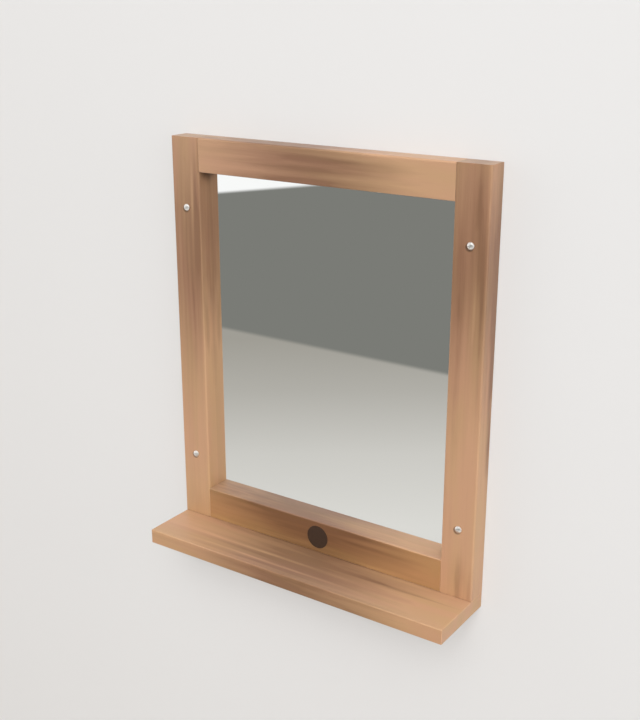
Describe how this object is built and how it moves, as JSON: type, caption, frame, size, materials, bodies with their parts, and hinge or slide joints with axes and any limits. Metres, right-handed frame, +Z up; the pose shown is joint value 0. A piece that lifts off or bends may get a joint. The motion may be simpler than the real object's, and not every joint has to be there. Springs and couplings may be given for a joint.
{
  "type": "mirror with shelf",
  "caption": "Wall mirror in a doweled solid-wood frame that stands on a shelf board, held to the wall by round-head screws through its stiles.",
  "frame": {"origin": "centre of the pattern of four wall screws, on the wall plane that the back of the frame lies against", "axes": "+X to the right seen from the front, +Y into the wall, +Z up; the front looks towards -Y"},
  "size_m": [0.5, 0.153, 0.607],
  "materials": {
    "wood": "satin lacquer over warm brown solid wood with a soft straight grain",
    "mirror": "silvered float glass",
    "pad_rubber": "black rubber pad",
    "packing_foam": "thin closed-cell foam sheet",
    "hardboard": "bare tempered hardboard",
    "plain_steel": "zinc-plated steel screw",
    "dowel_wood": "fluted hardwood dowel, glued",
    "bright_steel": "bright nickel-plated round-head screw",
    "disc_dark": "plain dark brown satin disc"
  },
  "bodies": {
    "root": {"left_stile": "wood", "right_stile": "wood", "top_rail": "wood", "bottom_rail": "wood", "shelf_board": "wood", "mirror_pane": "mirror", "setting_pads": "pad_rubber", "packing_sheet": "packing_foam", "back_panel": "hardboard", "back_panel_screws": "plain_steel", "top_rail_dowels": "dowel_wood", "bottom_rail_dowels": "dowel_wood", "shelf_dowels": "dowel_wood", "shelf_screws": "plain_steel", "wall_screws": "bright_steel", "rail_disc": "disc_dark"}
  },
  "joints": []
}
